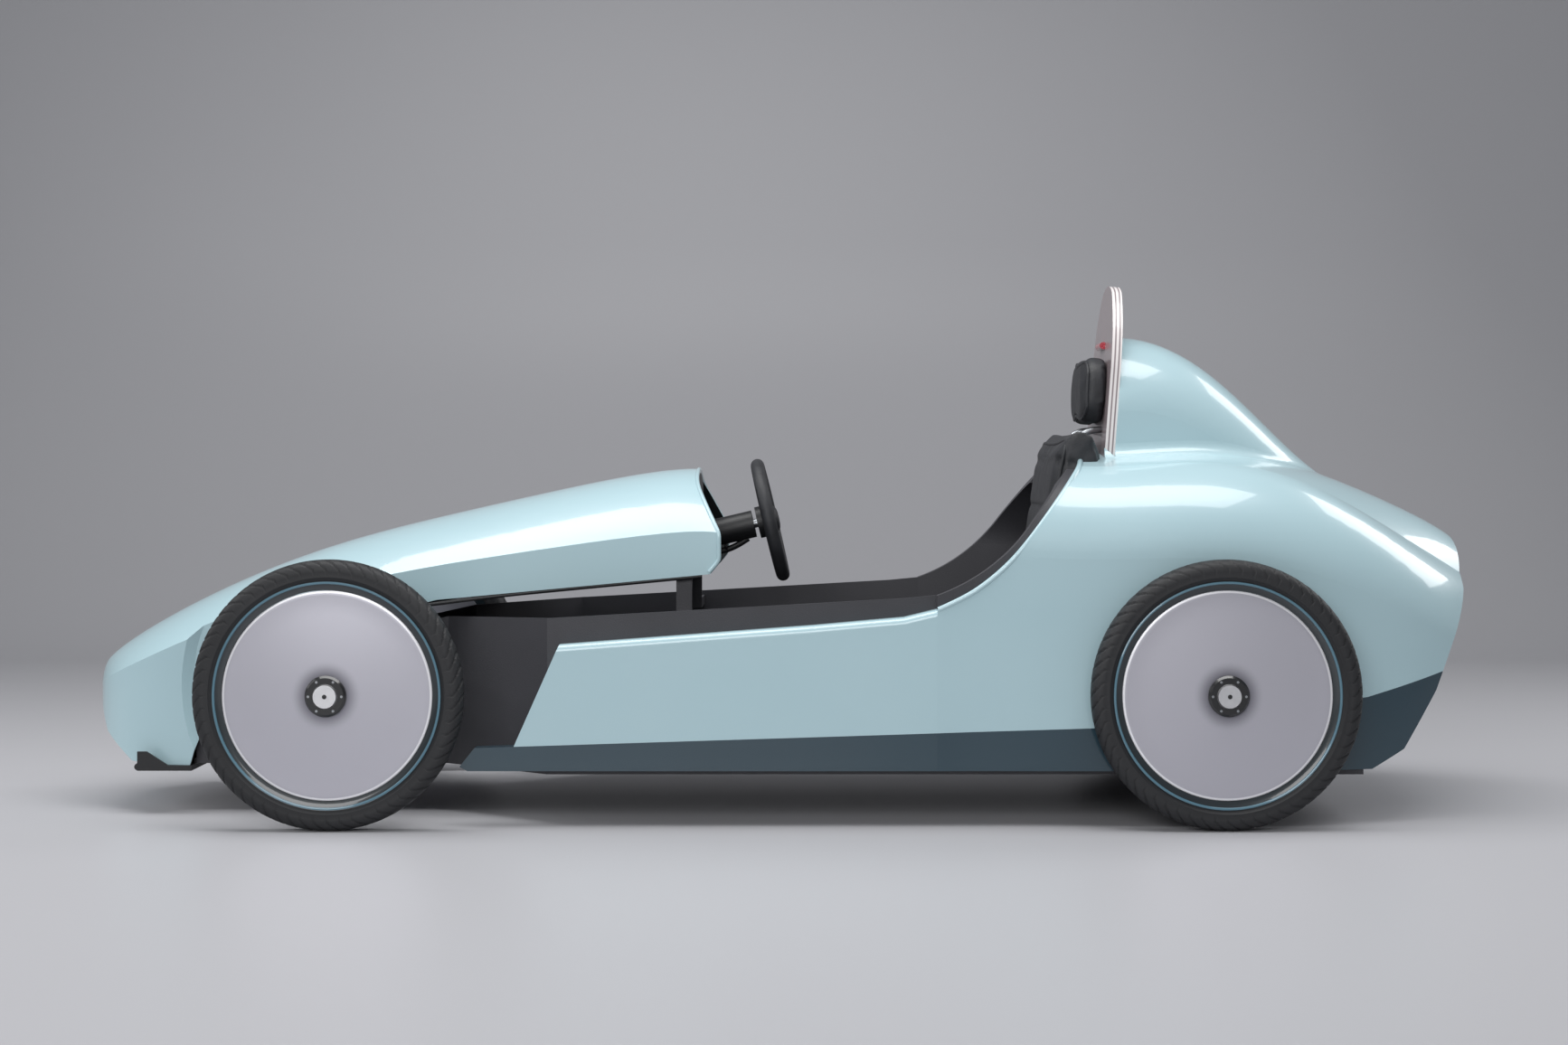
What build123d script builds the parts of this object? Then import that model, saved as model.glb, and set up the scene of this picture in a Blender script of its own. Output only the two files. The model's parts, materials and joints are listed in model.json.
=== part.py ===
import math
import os

from build123d import *

os.makedirs("parts", exist_ok=True)

# Driving dimensions in millimetres: X forward, Y left, Z up, ground at Z 0
nose_x = 1350.0
tail_x = -1350.0
front_axle_x = 825.0
rear_axle_x = -830.0
track = 830.0
tyre_radius = 250.0
tyre_width = 50.0
rim_radius = 205.0
disc_radius = 193.0
hub_radius = 38.0
cap_radius = 23.0
floor_z = 94.0
floor_thickness = 10.0
wheel_gap = 15.0
panel_depth = 30.0
tub_front_y = 185.0
tub_wall = 6.0
shell_wall = 8.0
panel_rear_x = -300.0
floor_rear_x = -1100.0
floor_front_x = 1130.0

# Driving dimensions of the controls
steer_x = 17.0
steer_z = 563.0
steer_tilt = 13.3
steer_radius = 113.0
steer_grip = 13.5
kingpin_offset = 75.0
arm_length = 60.0
rack_rise = 45.0
crank_x = 545.0
crank_z = 300.0
crank_arm = 140.0
bore_gap = 0.1

# Sizes that follow from the driving dimensions
floor_top = floor_z + floor_thickness
wheel_y = track / 2
panel_y = wheel_y - tyre_width / 2 - wheel_gap
tub_y = panel_y - panel_depth
kingpin_y = wheel_y - kingpin_offset
rack_x = front_axle_x - arm_length
rack_z = tyre_radius + rack_rise
body_reach = 2 * panel_y
steer_plane = Plane(
    origin=(steer_x, 0, steer_z),
    x_dir=(0, 1, 0),
    z_dir=(-math.cos(math.radians(steer_tilt)), 0, math.sin(math.radians(steer_tilt))),
)


def cross_plane(x):
    """Plane across the car at x, drawn in Y and Z."""
    return Plane(origin=(x, 0, 0), x_dir=(0, 1, 0), z_dir=(1, 0, 0))


def side_plane(y):
    """Plane along the car at y, drawn in X and Z, with its normal to the right."""
    return Plane(origin=(0, y, 0), x_dir=(1, 0, 0), z_dir=(0, -1, 0))


def save(node, name):
    """Write one finished piece as its own STEP file."""
    node.part.label = name
    export_step(node.part, f"parts/{name}.step")


# Bonnet: a long lofted cowl with a flat flank, a crowned top and a blunt nose
bonnet_base = 60.0
bonnet_rows = [
    # x, half width, shoulder height, crown height
    (nose_x, 66, 243, 287),
    (1300, 147, 266, 326),
    (1175, 207, 322, 398),
    (front_axle_x + 20, 220, 440, 528),
    (479, 230, 508, 616),
    (109, 238, 543, 656),
]
cowl_top_x = 158.0
cowl_side_x = 109.0
chin_x = 1221.0
nose_rear_x = 1135.0
relief_radius = 350.0
relief_depth = 40.0
relief_y = 229.0
relief_lean = 6.0


def bonnet_loft(inset):
    """Loft through the bonnet's sections, each drawn in by the inset."""
    with BuildPart() as body:
        for x, half, shoulder, crown in bonnet_rows:
            with BuildSketch(cross_plane(x)):
                with BuildLine():
                    left = (inset - half, shoulder)
                    right = (half - inset, shoulder)
                    Polyline(left, (left[0], bonnet_base), (right[0], bonnet_base), right)
                    ThreePointArc(right, (0, crown - inset), left)
                make_face()
        loft()
    return body.part


def relief_cone(side, inset):
    """Shallow cone about the front wheel's axis that hollows the bonnet's flank."""
    with BuildPart() as cone:
        lean = math.radians(relief_lean)
        depth_plane = Plane(
            origin=(front_axle_x, side * (relief_y - inset), tyre_radius),
            x_dir=(0, 0, 1),
            z_dir=(math.sin(lean), side * math.cos(lean), 0),
        )
        with BuildSketch(depth_plane):
            Circle(relief_radius - relief_depth)
        with BuildSketch(depth_plane.offset(2 * relief_depth)):
            Circle(relief_radius + relief_depth)
        loft()
    return cone.part


with BuildPart() as bonnet_core:
    add(bonnet_loft(shell_wall))
    with BuildSketch(side_plane(0)):
        Polygon(
            (0, 0),
            (chin_x - shell_wall, 0),
            (chin_x - shell_wall, floor_z),
            (1258 - shell_wall, 96 + shell_wall),
            (1322 - shell_wall, 150 + shell_wall / 2),
            (nose_x - shell_wall, 205),
            (nose_x - shell_wall, 800),
            (0, 800),
            align=None,
        )
    extrude(amount=body_reach, both=True, mode=Mode.INTERSECT)
    for side in (1, -1):
        add(relief_cone(side, shell_wall), mode=Mode.SUBTRACT)

with BuildPart() as bonnet:
    add(bonnet_loft(0))
    with BuildSketch(side_plane(0)):
        Polygon(
            (cowl_side_x + 20, 464),
            (656, 414),
            (1010, 330),
            (1095, 230),
            (nose_rear_x, floor_z),
            (chin_x, floor_z),
            (1258, 98),
            (1322, 150),
            (nose_x, 205),
            (nose_x, 800),
            (cowl_top_x, 800),
            (cowl_top_x, 640),
            (cowl_side_x, 542),
            (cowl_side_x, 490),
            align=None,
        )
    extrude(amount=body_reach, both=True, mode=Mode.INTERSECT)
    for side in (1, -1):
        add(relief_cone(side, 0), mode=Mode.SUBTRACT)
    add(bonnet_core.part, mode=Mode.SUBTRACT)
save(bonnet, "bonnet")

# Floor pan: one flat tray, narrow between the front wheels and full width behind
floor_outline = [
    (floor_front_x, tub_front_y),
    (640, tub_front_y),
    (430, tub_y),
    (floor_rear_x, tub_y),
]
with BuildPart() as floor_pan:
    with BuildSketch(Plane.XY.offset(floor_z)):
        Polygon(*floor_outline, *[(x, -y) for x, y in reversed(floor_outline)], align=None)
    extrude(amount=floor_thickness)
save(floor_pan, "floor_pan")

# Front skid: a flat lip under the nose with upturned ends, butted to the floor pan
skid_half = 222.0
skid_length = 105.0
skid_thickness = 10.0
skid_lip = 5.0
lip_top = 121.0
with BuildPart() as front_skid:
    with BuildSketch(cross_plane(floor_front_x)):
        with Locations((0, floor_z - skid_thickness / 2)):
            Rectangle(2 * skid_half, skid_thickness)
        for side in (1, -1):
            with Locations((side * (skid_half - skid_lip / 2), (floor_z + lip_top) / 2)):
                Rectangle(skid_lip, lip_top - floor_z)
    extrude(amount=skid_length)
    with BuildSketch(side_plane(0)):
        Polygon(
            (floor_front_x, floor_z),
            (floor_front_x, lip_top),
            (floor_front_x + skid_length - 18, lip_top),
            (floor_front_x + skid_length - 60, floor_z),
            align=None,
        )
    extrude(amount=body_reach, both=True, mode=Mode.SUBTRACT)
    with BuildSketch(cross_plane(floor_front_x)):
        with Locations((0, floor_z + floor_thickness / 2)):
            Rectangle(2 * tub_front_y, floor_thickness)
    extrude(amount=skid_lip)
save(front_skid, "front_skid")

# Tub walls: folded sheet sides that stand on the floor pan and stop at the seat
tub_top = [
    # x, height of the tub's top edge
    (floor_front_x, 240),
    (1000, 300),
    (640, 380),
    (420, 387),
    (-238, 424),
    (panel_rear_x, 430),
]
for side, name in ((1, "tub_wall_left"), (-1, "tub_wall_right")):
    with BuildPart() as tub_wall_part:
        outer = floor_outline[:3] + [(panel_rear_x, tub_y)]
        inner = [(x, y - tub_wall) for x, y in reversed(outer)]
        with BuildSketch(Plane.XY.offset(floor_top)):
            Polygon(*[(x, side * y) for x, y in outer + inner], align=None)
        extrude(amount=500)
        with BuildSketch(side_plane(0)):
            Polygon(*tub_top, (panel_rear_x, 0), (floor_front_x, 0), align=None)
        extrude(amount=body_reach, both=True, mode=Mode.INTERSECT)
        with Locations(Location((rack_x, side * tub_front_y, rack_z), (90, 0, 0))):
            Cylinder(15, 40, mode=Mode.SUBTRACT)
    save(tub_wall_part, name)

# Side panels and sills: foam-cored skins outside the tub, with a rounded top edge
sill_front_x = 590.0
sill_line = [(sill_front_x - 28, 147), (-597, 184), (-830, 211), (-1107, 239), (-1265, 280)]
sill_split = sill_line[0][1] + (sill_line[1][1] - sill_line[0][1]) * (
    (sill_line[0][0] - panel_rear_x) / (sill_line[0][0] - sill_line[1][0])
)
panel_front = (489, 149.4)
panel_edge = [(405, 339), (-70, 375), (-238, 390), (panel_rear_x, 405)]
panel_round = 14.0
for side, hand in ((1, "left"), (-1, "right")):
    with BuildPart() as side_panel:
        with BuildSketch(side_plane(side * (tub_y + panel_y) / 2)):
            Polygon(panel_front, *panel_edge, (panel_rear_x, sill_split), align=None)
        extrude(amount=(panel_y - tub_y) / 2, both=True)
        outside = side_panel.faces().sort_by(Axis.Y)[-1 if side > 0 else 0]
        upper = outside.edges().filter_by(lambda e: e.center().Z > 330 and abs(e.tangent_at(0.5).X) > 0.5)
        fillet(upper, panel_round)
    save(side_panel, f"side_panel_{hand}")

    with BuildPart() as sill:
        with BuildSketch(side_plane(side * (tub_y + panel_y) / 2)):
            Polygon(
                sill_line[0],
                (sill_front_x, floor_z + 18),
                (sill_front_x - 15, floor_top),
                (panel_rear_x, floor_top),
                (panel_rear_x, sill_split),
                align=None,
            )
        extrude(amount=(panel_y - tub_y) / 2, both=True)
    save(sill, f"sill_{hand}")

# Tail: a full-width deck that narrows to the back, with a headrest fairing on its centreline
tail_base = 60.0
deck_rows = [
    # x, half width, flank top, shoulder half width, shoulder height, crown height
    (panel_rear_x, panel_y, 500, 250, 676, 702),
    (-520, panel_y, 500, 250, 676, 702),
    (-720, panel_y, 500, 250, 676, 702),
    (-970, panel_y - 8, 480, 245, 655, 690),
    (-1150, panel_y - 42, 415, 216, 572, 634),
    (-1280, panel_y - 110, 350, 165, 498, 576),
    (tail_x - 20, panel_y - 195, 310, 110, 445, 520),
]
fairing_rows = [
    # x, half width, crown height: upright sides under a half-round crown
    (-640, 152, 928),
    (-790, 146, 907),
    (-935, 126, 801),
    (-1045, 102, 695),
    (-1200, 72, 606),
]
fairing_blend = 30.0
board_foot = (-658.0, 660.0)
board_top = (-687.0, 1034.0)
coaming_top = (-620.0, 725.0)
tail_back = [(tail_x, 700), (tail_x, 505), (-1338, 433), (-1254, 246), (-1183, 139), (-1117, floor_top)]


def deck_loft(inset):
    """Loft through the deck's sections, each drawn in by the inset."""
    with BuildPart() as body:
        for x, half, flank, shoulder_half, shoulder, crown in deck_rows:
            with BuildSketch(cross_plane(x)):
                with BuildLine():
                    edge = half - inset
                    top_y = shoulder_half - inset / 2
                    top_z = shoulder - inset
                    Polyline((-edge, flank), (-edge, tail_base), (edge, tail_base), (edge, flank))
                    TangentArc((edge, flank), (top_y, top_z), tangent=(0, 1))
                    TangentArc((-edge, flank), (-top_y, top_z), tangent=(0, 1))
                    ThreePointArc((top_y, top_z), (0, crown - inset), (-top_y, top_z))
                make_face()
        loft()
    return body.part


def is_fairing_seam(edge):
    """True for the edges along the fairing, between its front and the tail."""
    span = edge.bounding_box()
    return tail_x < span.min.X and span.max.X < fairing_rows[0][0] + 1 and span.size.X > 1


def tail_loft(inset):
    """Deck with the headrest fairing lofted on top of it."""
    with BuildPart() as body:
        for x, half, crown in fairing_rows:
            with BuildSketch(cross_plane(x)):
                with BuildLine():
                    edge = half - inset
                    flank = crown - half
                    Polyline((-edge, flank), (-edge, flank - 200), (edge, flank - 200), (edge, flank))
                    ThreePointArc((edge, flank), (0, crown - inset), (-edge, flank))
                make_face()
        loft()
        add(deck_loft(inset))
        fillet(body.edges().filter_by(is_fairing_seam), fairing_blend)
    return body.part


def coaming_edge(rise):
    """Swept-up edge beside the seat: one large round, then a straight lean."""
    start = (panel_rear_x, panel_edge[-1][1] + rise)
    bend_end = (-478, 540 + rise)
    ThreePointArc(start, (-395, 455 + rise), bend_end)
    Line(bend_end, (coaming_top[0], coaming_top[1] + rise))
    return start


def board_x(z):
    """X of the headrest board's back plane at height z."""
    return board_foot[0] + (board_top[0] - board_foot[0]) * (z - board_foot[1]) / (board_top[1] - board_foot[1])


with BuildPart() as tail_core:
    add(tail_loft(shell_wall))
    with BuildSketch(side_plane(0)):
        inner_back = [(x + shell_wall, z) for x, z in tail_back]
        Polygon(
            (panel_rear_x + 50, 0),
            (panel_rear_x + 50, 1100),
            (tail_x + shell_wall, 1100),
            *inner_back,
            (inner_back[-1][0] + 30, 0),
            align=None,
        )
    extrude(amount=body_reach, both=True, mode=Mode.INTERSECT)

with BuildPart() as tail_skin:
    add(tail_loft(0))
    with BuildSketch(side_plane(0)):
        with BuildLine():
            edge_start = coaming_edge(0)
            Polyline(
                coaming_top,
                (board_x(board_foot[1] + 30), board_foot[1] + 30),
                (board_x(1100), 1100),
                (tail_x, 1100),
                *tail_back,
                (panel_rear_x, floor_top),
                edge_start,
            )
        make_face()
    extrude(amount=body_reach, both=True, mode=Mode.INTERSECT)
    add(tail_core.part, mode=Mode.SUBTRACT)
    with Locations(Location((rear_axle_x, 0, tyre_radius), (90, 0, 0))):
        Cylinder(16, 3 * panel_y, mode=Mode.SUBTRACT)

with BuildPart() as below_split:
    with BuildSketch(side_plane(0)):
        Polygon(
            (panel_rear_x + 50, sill_split),
            (panel_rear_x, sill_split),
            *sill_line[1:],
            (tail_x - 50, sill_line[-1][1] + 22),
            (tail_x - 50, 0),
            (panel_rear_x + 50, 0),
            align=None,
        )
    extrude(amount=body_reach, both=True)

with BuildPart() as tail_shell:
    add(tail_skin.part)
    add(below_split.part, mode=Mode.SUBTRACT)
save(tail_shell, "tail_shell")

with BuildPart() as tail_valance:
    add(tail_skin.part)
    add(below_split.part, mode=Mode.INTERSECT)
save(tail_valance, "tail_valance")

# Cockpit liners: moulded sides inside the tail's flanks, in line with the tub walls
liner_lip = 25.0
liner_inner_y = 240.0
for side, hand in ((1, "left"), (-1, "right")):
    with BuildPart() as cockpit_liner:
        add(tail_core.part)
        add(deck_loft(panel_depth + tub_wall), mode=Mode.SUBTRACT)
        with BuildSketch(side_plane(side * liner_inner_y)):
            with BuildLine():
                edge_start = coaming_edge(liner_lip)
                Polyline(
                    (coaming_top[0], coaming_top[1] + liner_lip),
                    (coaming_top[0], floor_top),
                    (panel_rear_x, floor_top),
                    edge_start,
                )
            make_face()
        extrude(amount=side * -body_reach, mode=Mode.INTERSECT)
    save(cockpit_liner, f"cockpit_liner_{hand}")

# Seat bulkhead: the plate across the tail that carries the seat back
bulkhead_x = -628.0
bulkhead_thickness = 12.0
with BuildPart() as seat_bulkhead:
    add(tail_core.part)
    with BuildSketch(side_plane(0)):
        Polygon(
            (bulkhead_x, floor_top),
            (bulkhead_x, 690),
            (bulkhead_x - bulkhead_thickness, 690),
            (bulkhead_x - bulkhead_thickness, floor_top),
            align=None,
        )
    extrude(amount=body_reach, both=True, mode=Mode.INTERSECT)
save(seat_bulkhead, "seat_bulkhead")

# Seat: a base cushion on the floor and a reclined back against the bulkhead
seat_half = 235.0
seat_front_x = -215.0
seat_rear_x = -560.0
seat_top_z = 172.0
with BuildPart() as seat_base:
    with BuildSketch(side_plane(0)):
        Polygon(
            (seat_front_x, floor_top),
            (seat_front_x, seat_top_z + 14),
            (seat_rear_x, seat_top_z),
            (seat_rear_x, floor_top),
            align=None,
        )
    extrude(amount=seat_half, both=True)
    fillet(seat_base.faces().sort_by(Axis.Z)[-1].edges(), 24)
save(seat_base, "seat_base")

with BuildPart() as seat_back:
    with BuildSketch(side_plane(0)):
        Polygon(
            (-470, seat_top_z + 20),
            (-556, 730),
            (-580, 754),
            (-612, 748),
            (bulkhead_x, 690),
            (bulkhead_x, 420),
            (seat_rear_x - 10, seat_top_z + 20),
            align=None,
        )
    extrude(amount=seat_half - 10, both=True)
    fillet(seat_back.faces().sort_by(Axis.X)[-1].edges(), 18)
    add(tail_skin.part, mode=Mode.SUBTRACT)
save(seat_back, "seat_back")

# Headrest board: a thin arched panel that leans back on the fairing's front
board_thickness = 20.0
board_plane = Plane(
    origin=(board_foot[0], 0, board_foot[1]),
    x_dir=(0, 1, 0),
    z_dir=(board_top[1] - board_foot[1], 0, board_foot[0] - board_top[0]),
)
board_height = math.hypot(board_top[0] - board_foot[0], board_top[1] - board_foot[1])
board_half = 150.0
board_crown = 68.0
with BuildPart() as headrest_board:
    with BuildSketch(board_plane):
        with BuildLine():
            shoulder = (board_half - 6, board_height - 170)
            mirrored = (-shoulder[0], shoulder[1])
            Polyline(mirrored, (-board_half, -30), (board_half, -30), shoulder)
            ThreePointArc(shoulder, (board_crown + 32, board_height - 50), (board_crown, board_height - 16))
            ThreePointArc(mirrored, (-board_crown - 32, board_height - 50), (-board_crown, board_height - 16))
            ThreePointArc((board_crown, board_height - 16), (0, board_height), (-board_crown, board_height - 16))
        make_face()
    extrude(amount=board_thickness)
    add(deck_loft(0), mode=Mode.SUBTRACT)
    add(tail_skin.part, mode=Mode.SUBTRACT)
save(headrest_board, "headrest_board")

# Headrest pad: a thick round-edged cushion on the board's face
pad_thickness = 45.0
pad_height = 147.0
pad_width = 230.0
with BuildPart() as headrest_pad:
    pad_centre = (0, 820 - board_foot[1])
    with BuildSketch(board_plane.offset(board_thickness)):
        with Locations(pad_centre):
            RectangleRounded(pad_width, pad_height, 55)
    extrude(amount=pad_thickness)
    fillet(headrest_pad.faces().sort_by(Axis.X)[-1].edges(), 20)
save(headrest_pad, "headrest_pad")

# Scuttle frame: an arch inside the cowl with feet on the tub walls
scuttle_x = 165.0
scuttle_depth = 30.0
arch_band = 24.0
arch_foot_z = 470.0
foot_y = 200.0
foot_width = 20.0
foot_z = 372.0
with BuildPart() as scuttle_frame:
    with BuildSketch(cross_plane(scuttle_x)):
        with Locations((0, (arch_foot_z + 800) / 2)):
            Rectangle(2 * body_reach, 800 - arch_foot_z)
    extrude(amount=scuttle_depth)
    add(bonnet_core.part, mode=Mode.INTERSECT)
    add(bonnet_loft(shell_wall + arch_band), mode=Mode.SUBTRACT)
    for side in (1, -1):
        with BuildSketch(cross_plane(scuttle_x)):
            Polygon(
                (side * foot_y, arch_foot_z + foot_width),
                (side * (foot_y + foot_width), arch_foot_z + foot_width),
                (side * (foot_y + foot_width), foot_z + foot_width),
                (side * (tub_y - tub_wall), foot_z + foot_width),
                (side * (tub_y - tub_wall), foot_z),
                (side * foot_y, foot_z),
                align=None,
            )
        extrude(amount=scuttle_depth)
save(scuttle_frame, "scuttle_frame")

# Dash panel: a flat plate on the scuttle frame's rear face, bored for the column
dash_thickness = 7.0
column_radius = 27.5
shaft_radius = 9.0
with BuildPart() as dash_panel:
    with BuildSketch(cross_plane(scuttle_x - dash_thickness)):
        with Locations((0, (arch_foot_z + 800) / 2)):
            Rectangle(2 * body_reach, 800 - arch_foot_z)
    extrude(amount=dash_thickness)
    add(bonnet_core.part, mode=Mode.INTERSECT)
    with BuildSketch(steer_plane):
        Circle(shaft_radius + 5)
    extrude(amount=-300, mode=Mode.SUBTRACT)
save(dash_panel, "dash_panel")

# Steering column: a tube from the dash to just ahead of the wheel's hub
column_start = 34.0
with BuildPart() as steering_column:
    with BuildSketch(steer_plane.offset(-column_start)):
        Circle(column_radius)
    extrude(amount=-300)
    with BuildSketch(steer_plane):
        Circle(shaft_radius + 3)
    extrude(amount=-400, mode=Mode.SUBTRACT)
    with BuildSketch(cross_plane(scuttle_x - dash_thickness)):
        Rectangle(2000, 2000)
    extrude(amount=1000, mode=Mode.SUBTRACT)
save(steering_column, "steering_column")

# Steering wheel: padded rim, three-spoke hub and the shaft behind it
with BuildPart() as steering_rim:
    with BuildSketch(Plane(steer_plane.origin, x_dir=steer_plane.x_dir, z_dir=steer_plane.y_dir)):
        with Locations((steer_radius, 0)):
            Circle(steer_grip)
    revolve(axis=Axis(steer_plane.origin, steer_plane.z_dir))
save(steering_rim, "steering_rim")

spoke_width = 26.0
with BuildPart() as steering_hub:
    with BuildSketch(steer_plane.offset(-26)):
        Circle(32)
    extrude(amount=36)
    with BuildSketch(steer_plane.offset(-4)):
        for angle in (0, 180, 270):
            with Locations(Location((0, 0, 0), angle)):
                with Locations((steer_radius / 2, 0)):
                    Rectangle(steer_radius, spoke_width)
    extrude(amount=8)
    with BuildSketch(Plane(steer_plane.origin, x_dir=steer_plane.x_dir, z_dir=steer_plane.y_dir)):
        with Locations((steer_radius, 0)):
            Circle(steer_grip)
    revolve(axis=Axis(steer_plane.origin, steer_plane.z_dir), mode=Mode.SUBTRACT)
save(steering_hub, "steering_hub")

shaft_length = (rack_x - steer_x) / math.cos(math.radians(steer_tilt))
with BuildPart() as steering_shaft:
    with BuildSketch(steer_plane.offset(-26)):
        Circle(shaft_radius)
    extrude(amount=26 - shaft_length)
save(steering_shaft, "steering_shaft")

# Steering box: a rack tube on two feet with a tower that carries the shaft's end
rack_radius = 9.0
box_half_x = 20.0
tower_top = steer_z - shaft_length * math.sin(math.radians(steer_tilt)) + 30
with BuildPart() as steering_box:
    with Locations(Location((rack_x, 0, rack_z), (90, 0, 0))):
        Cylinder(box_half_x, 300)
    for y in (-120, 120):
        with Locations((rack_x, y, (floor_top + rack_z) / 2)):
            Box(2 * box_half_x, 36, rack_z - floor_top)
    with Locations((rack_x, 0, (rack_z + tower_top) / 2)):
        Box(2 * box_half_x, 56, tower_top - rack_z)
    with Locations(Location((rack_x, 0, rack_z), (90, 0, 0))):
        Cylinder(rack_radius + bore_gap, 400, mode=Mode.SUBTRACT)
    with BuildSketch(steer_plane):
        Circle(shaft_radius + bore_gap)
    extrude(amount=-shaft_length - 1, mode=Mode.SUBTRACT)
save(steering_box, "steering_box")

# Rack bar: one rod through the rack tube with a slotted eye at each end
stud_radius = 6.0
eye_half_z = 6.0
eye_slack = 1.4
eye_drift = 6.0
with BuildPart() as rack_bar:
    with Locations(Location((rack_x, 0, rack_z), (90, 0, 0))):
        Cylinder(rack_radius, 2 * kingpin_y - 26)
    for side in (1, -1):
        with Locations((rack_x + eye_drift / 2, side * kingpin_y, rack_z)):
            Box(38, 32, 2 * eye_half_z)
            with Locations((0, 0, 0)):
                Box(eye_drift, 2 * (stud_radius + eye_slack), 40, mode=Mode.SUBTRACT)
            for end in (-1, 1):
                with Locations((end * eye_drift / 2, 0, 0)):
                    Cylinder(stud_radius + eye_slack, 40, mode=Mode.SUBTRACT)
save(rack_bar, "rack_bar")

# Front axle stubs: flanged tubes with a yoke and kingpin at each end
pin_radius = 8.0
boss_radius = 18.0
boss_half = 28.0
yoke_gap = 2.0
yoke_plate = 10.0
for side, hand in ((1, "left"), (-1, "right")):
    with BuildPart() as axle_stub:
        with Locations((front_axle_x, side * (tub_front_y + 6), tyre_radius)):
            Box(70, 12, 90)
        with Locations(Location((front_axle_x, side * (tub_front_y + 66), tyre_radius), (90, 0, 0))):
            Cylinder(20, 132)
        with Locations((front_axle_x, side * (kingpin_y - boss_radius - 8), tyre_radius)):
            Box(36, 8, 2 * (boss_half + yoke_gap + yoke_plate))
        for end in (-1, 1):
            plate_z = tyre_radius + end * (boss_half + yoke_gap + yoke_plate / 2)
            with Locations((front_axle_x, side * (kingpin_y - boss_radius / 2 - 2), plate_z)):
                Box(36, boss_radius + 4, yoke_plate)
            with Locations((front_axle_x, side * kingpin_y, plate_z)):
                Cylinder(boss_radius, yoke_plate)
        with Locations((front_axle_x, side * kingpin_y, tyre_radius)):
            Cylinder(pin_radius, 2 * (boss_half + yoke_gap) + yoke_plate)
    save(axle_stub, f"axle_stub_{hand}")

    spindle_radius = 10.0
    spindle_end = wheel_y + 30
    with BuildPart() as knuckle:
        with Locations((front_axle_x, side * kingpin_y, tyre_radius)):
            Cylinder(boss_radius, 2 * boss_half)
        spindle_mid = (kingpin_y + spindle_end) / 2
        with Locations(Location((front_axle_x, side * spindle_mid, tyre_radius), (90, 0, 0))):
            Cylinder(spindle_radius, spindle_end - kingpin_y)
        arm_z = tyre_radius + boss_half - 8
        with Locations((front_axle_x - arm_length / 2, side * kingpin_y, arm_z)):
            Box(arm_length, 18, 14)
        with Locations((rack_x, side * kingpin_y, arm_z)):
            Cylinder(10, 14)
        stud_top = rack_z + eye_half_z + 5
        with Locations((rack_x, side * kingpin_y, (arm_z + stud_top) / 2)):
            Cylinder(stud_radius, stud_top - arm_z)
        with Locations((front_axle_x, side * kingpin_y, tyre_radius)):
            Cylinder(pin_radius + bore_gap, 200, mode=Mode.SUBTRACT)
    save(knuckle, f"knuckle_{hand}")

# Rear axle: a straight tube on two floor brackets with a spindle at each end
with BuildPart() as rear_axle:
    with Locations(Location((rear_axle_x, 0, tyre_radius), (90, 0, 0))):
        Cylinder(22, 2 * (panel_y - shell_wall - 7))
        Cylinder(spindle_radius, 2 * spindle_end)
    for y in (95 - tub_y, tub_y - 95):
        with Locations((rear_axle_x, y, (floor_top + tyre_radius) / 2)):
            Box(40, 14, tyre_radius - floor_top)
save(rear_axle, "rear_axle")

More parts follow.
